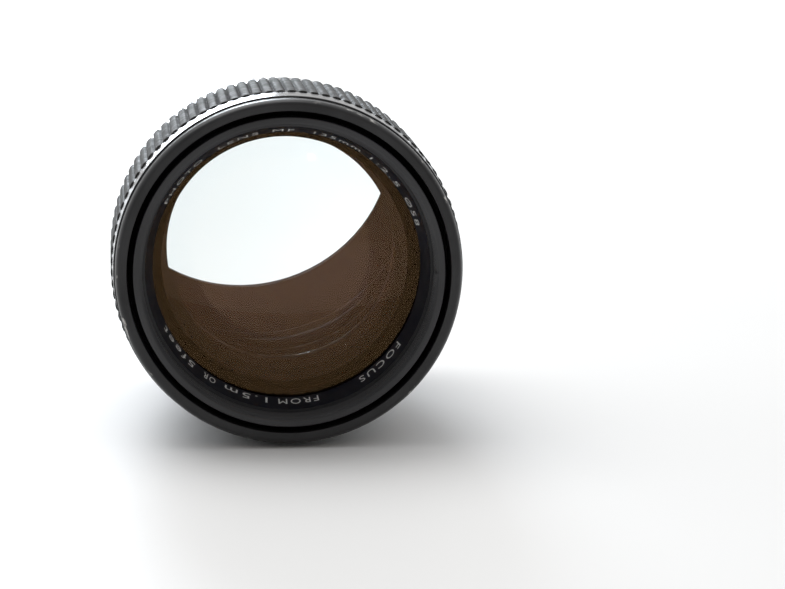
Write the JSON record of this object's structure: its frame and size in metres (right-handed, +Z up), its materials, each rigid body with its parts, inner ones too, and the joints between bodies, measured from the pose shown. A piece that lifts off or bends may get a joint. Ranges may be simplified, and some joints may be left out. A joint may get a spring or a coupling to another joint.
{
  "type": "prime camera lens",
  "caption": "Vintage fixed-focal-length telephoto lens with a ribbed focus ring, telescoping hood, iris, aperture ring and breech-lock camera mount.",
  "frame": {"origin": "centre of the mount flange plane on the optical axis", "axes": "+Y along the optical axis towards the camera, the front faces -Y, +Z up through the index marks"},
  "size_m": [0.0694, 0.095, 0.0694],
  "materials": {
    "black_metal": "satin black anodised",
    "gloss_black": "smooth glossy black",
    "baffle_black": "matte black, anti-reflection",
    "name_ring_black": "satin black with white engraving",
    "grip_black": "fine matte ribbed rubber",
    "chrome": "satin chrome",
    "brass": "machined",
    "steel": "machined",
    "aluminium": "machined",
    "blade_steel": "blackened spring steel",
    "felt": "black felt",
    "glass_amber": "clear glass, amber coating",
    "glass_clear": "clear glass, violet coating",
    "red_enamel": "red enamel"
  },
  "bodies": {
    "barrel": {"mount_base": "chrome", "rear_baffle": "baffle_black", "baffle_screws": "steel", "mount_screws": "steel", "breech_retaining_ring": "brass", "fixed_barrel": "aluminium", "scale_ring": "black_metal", "rear_ring": "black_metal", "guide_keys": "steel", "detent_ball": "steel", "detent_spring": "steel", "lever_spacer_ring": "steel", "lever_retaining_ring": "steel"},
    "lens_unit": {"front_barrel": "aluminium", "filter_ring": "black_metal", "name_ring": "name_ring_black", "front_cell": "baffle_black", "front_element": "glass_amber", "second_element": "glass_clear", "third_element": "glass_clear", "doublet_retaining_ring": "baffle_black", "hood_guide_ring": "black_metal", "hood_felt": "felt", "iris_base_plate": "baffle_black", "iris_retaining_ring": "baffle_black", "rear_cell": "baffle_black", "fourth_element": "glass_clear", "fifth_element": "glass_clear", "sixth_element": "glass_clear", "rear_spacer": "baffle_black", "rear_group_retaining_ring": "baffle_black"},
    "focus_ring": {"focus_sleeve": "gloss_black", "focus_grip": "grip_black", "focus_helicoid": "brass", "focus_set_screws": "steel"},
    "hood": {"hood_tube": "black_metal", "hood_rim": "black_metal"},
    "aperture_ring": {"aperture_ring": "black_metal"},
    "lock_button": {"aperture_lock_button": "chrome"},
    "signal_lever": {"signal_lever": "steel"},
    "stop_down_lever": {"stop_down_lever": "steel"},
    "iris_cam": {"iris_cam": "brass"},
    "breech_ring": {"breech_ring": "chrome", "breech_index_dot": "red_enamel"},
    "iris_blade_1": {"iris_blade_1": "blade_steel"},
    "iris_blade_2": {"iris_blade_2": "blade_steel"},
    "iris_blade_3": {"iris_blade_3": "blade_steel"},
    "iris_blade_4": {"iris_blade_4": "blade_steel"},
    "iris_blade_5": {"iris_blade_5": "blade_steel"},
    "iris_blade_6": {"iris_blade_6": "blade_steel"},
    "iris_blade_7": {"iris_blade_7": "blade_steel"},
    "iris_blade_8": {"iris_blade_8": "blade_steel"}
  },
  "joints": [
    {"name": "focus_travel", "type": "slide", "parent": "barrel", "child": "lens_unit", "axis": [0, -1, 0], "range_m": [0, 0.015]},
    {"name": "focus_turn", "type": "hinge", "parent": "lens_unit", "child": "focus_ring", "pos_m": [0, -0.07, 0], "axis": [0, -1, 0], "range_deg": [0, 200]},
    {"name": "hood_slide", "type": "slide", "parent": "lens_unit", "child": "hood", "axis": [0, -1, 0], "range_m": [0, 0.021]},
    {"name": "aperture_turn", "type": "hinge", "parent": "barrel", "child": "aperture_ring", "pos_m": [0, -0.0257, 0], "axis": [0, 1, 0], "range_deg": [0, 54]},
    {"name": "lock_button_press", "type": "slide", "parent": "aperture_ring", "child": "lock_button", "axis": [-0.6691, 0, 0.7431], "range_m": [0, 0.0007], "stiffness_N_per_m": 400},
    {"name": "signal_lever_swing", "type": "hinge", "parent": "barrel", "child": "signal_lever", "pos_m": [0, -0.006, 0], "axis": [0, 1, 0], "range_deg": [0, 27]},
    {"name": "stop_down", "type": "hinge", "parent": "barrel", "child": "stop_down_lever", "pos_m": [0, -0.01, 0], "axis": [0, 1, 0], "range_deg": [0, 22], "stiffness_Nm_per_rad": 0.02},
    {"name": "iris_cam_turn", "type": "hinge", "parent": "lens_unit", "child": "iris_cam", "pos_m": [0, -0.0473, 0], "axis": [0, 1, 0], "range_deg": [0, 22]},
    {"name": "breech_turn", "type": "hinge", "parent": "barrel", "child": "breech_ring", "pos_m": [0, -0.006, 0], "axis": [0, -1, 0], "range_deg": [0, 60]},
    {"name": "iris_blade_1_swing", "type": "hinge", "parent": "lens_unit", "child": "iris_blade_1", "pos_m": [0.0252, -0.0506, 0], "axis": [0, -1, 0], "range_deg": [0, 34]},
    {"name": "iris_blade_2_swing", "type": "hinge", "parent": "lens_unit", "child": "iris_blade_2", "pos_m": [0.01782, -0.0506, 0.01782], "axis": [0, -1, 0], "range_deg": [0, 34]},
    {"name": "iris_blade_3_swing", "type": "hinge", "parent": "lens_unit", "child": "iris_blade_3", "pos_m": [0, -0.0506, 0.0252], "axis": [0, -1, 0], "range_deg": [0, 34]},
    {"name": "iris_blade_4_swing", "type": "hinge", "parent": "lens_unit", "child": "iris_blade_4", "pos_m": [-0.01782, -0.0506, 0.01782], "axis": [0, -1, 0], "range_deg": [0, 34]},
    {"name": "iris_blade_5_swing", "type": "hinge", "parent": "lens_unit", "child": "iris_blade_5", "pos_m": [-0.0252, -0.0506, 0], "axis": [0, -1, 0], "range_deg": [0, 34]},
    {"name": "iris_blade_6_swing", "type": "hinge", "parent": "lens_unit", "child": "iris_blade_6", "pos_m": [-0.01782, -0.0506, -0.01782], "axis": [0, -1, 0], "range_deg": [0, 34]},
    {"name": "iris_blade_7_swing", "type": "hinge", "parent": "lens_unit", "child": "iris_blade_7", "pos_m": [0, -0.0506, -0.0252], "axis": [0, -1, 0], "range_deg": [0, 34]},
    {"name": "iris_blade_8_swing", "type": "hinge", "parent": "lens_unit", "child": "iris_blade_8", "pos_m": [0.01782, -0.0506, -0.01782], "axis": [0, -1, 0], "range_deg": [0, 34]}
  ],
  "couplings": [
    {"joint": "focus_travel", "follows": "focus_turn", "m_per_rad": 0.004297},
    {"joint": "signal_lever_swing", "follows": "aperture_turn", "ratio": 0.5},
    {"joint": "iris_cam_turn", "follows": "stop_down", "ratio": 1},
    {"joint": "iris_blade_1_swing", "follows": "stop_down", "ratio": 1.5455},
    {"joint": "iris_blade_2_swing", "follows": "stop_down", "ratio": 1.5455},
    {"joint": "iris_blade_3_swing", "follows": "stop_down", "ratio": 1.5455},
    {"joint": "iris_blade_4_swing", "follows": "stop_down", "ratio": 1.5455},
    {"joint": "iris_blade_5_swing", "follows": "stop_down", "ratio": 1.5455},
    {"joint": "iris_blade_6_swing", "follows": "stop_down", "ratio": 1.5455},
    {"joint": "iris_blade_7_swing", "follows": "stop_down", "ratio": 1.5455},
    {"joint": "iris_blade_8_swing", "follows": "stop_down", "ratio": 1.5455}
  ]
}
